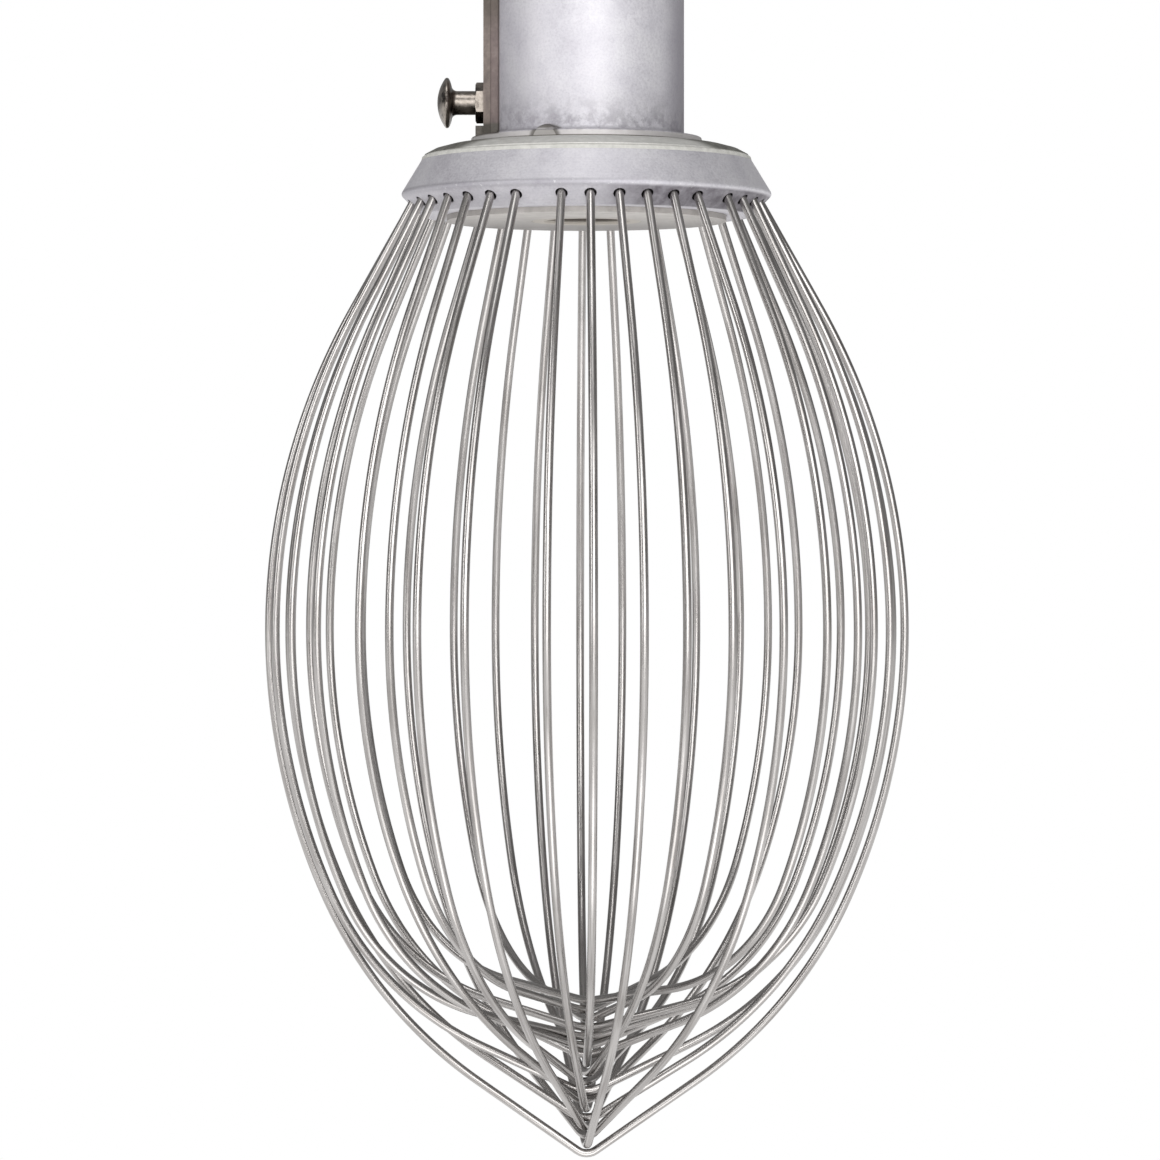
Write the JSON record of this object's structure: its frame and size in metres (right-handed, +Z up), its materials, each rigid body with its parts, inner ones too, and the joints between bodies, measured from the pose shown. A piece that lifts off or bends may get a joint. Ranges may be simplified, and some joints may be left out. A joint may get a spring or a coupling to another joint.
{
  "type": "stand mixer wire whip",
  "caption": "Wire whip for a planetary mixer: cast hub with a round shaft socket and a sprung locking plunger, and a pear-shaped cage of crossed steel wire loops.",
  "frame": {"origin": "on the axis of the shaft socket, level with the top of the raised ring that the barrel stands on", "axes": "+Z up along the socket towards its open end, the cage hangs along -Z; the locking plunger points along -X; the side seen in the picture faces -Y"},
  "size_m": [0.307, 0.293, 0.576],
  "materials": {
    "cast_hub": "tumbled cast, satin",
    "plate_metal": "turned, satin",
    "seal": "smooth sealant bead",
    "base_metal": "turned, warm grey satin",
    "plunger_steel": "turned and worn",
    "spring_steel": "drawn spring wire",
    "wire": "drawn stainless wire, satin"
  },
  "bodies": {
    "whip": {"hub_casting": "cast_hub", "top_plate": "plate_metal", "edge_seal": "seal", "base_plate": "base_metal", "plunger_collar": "plunger_steel", "plunger_spring": "spring_steel", "wire_loop_01": "wire", "wire_loop_02": "wire", "wire_loop_03": "wire", "wire_loop_04": "wire", "wire_loop_05": "wire", "wire_loop_06": "wire", "wire_loop_07": "wire", "wire_loop_08": "wire", "wire_loop_09": "wire", "wire_loop_10": "wire", "wire_loop_11": "wire", "wire_loop_12": "wire", "wire_loop_13": "wire", "wire_loop_14": "wire", "wire_loop_15": "wire", "wire_loop_16": "wire", "wire_loop_17": "wire", "wire_loop_18": "wire"},
    "plunger": {"plunger": "plunger_steel"}
  },
  "joints": [
    {"name": "plunger_pull", "type": "slide", "parent": "whip", "child": "plunger", "axis": [-1, 0, 0], "range_m": [0, 0.0063], "stiffness_N_per_m": 900, "springref_m": -0.004, "deforming": ["plunger_spring"]}
  ]
}
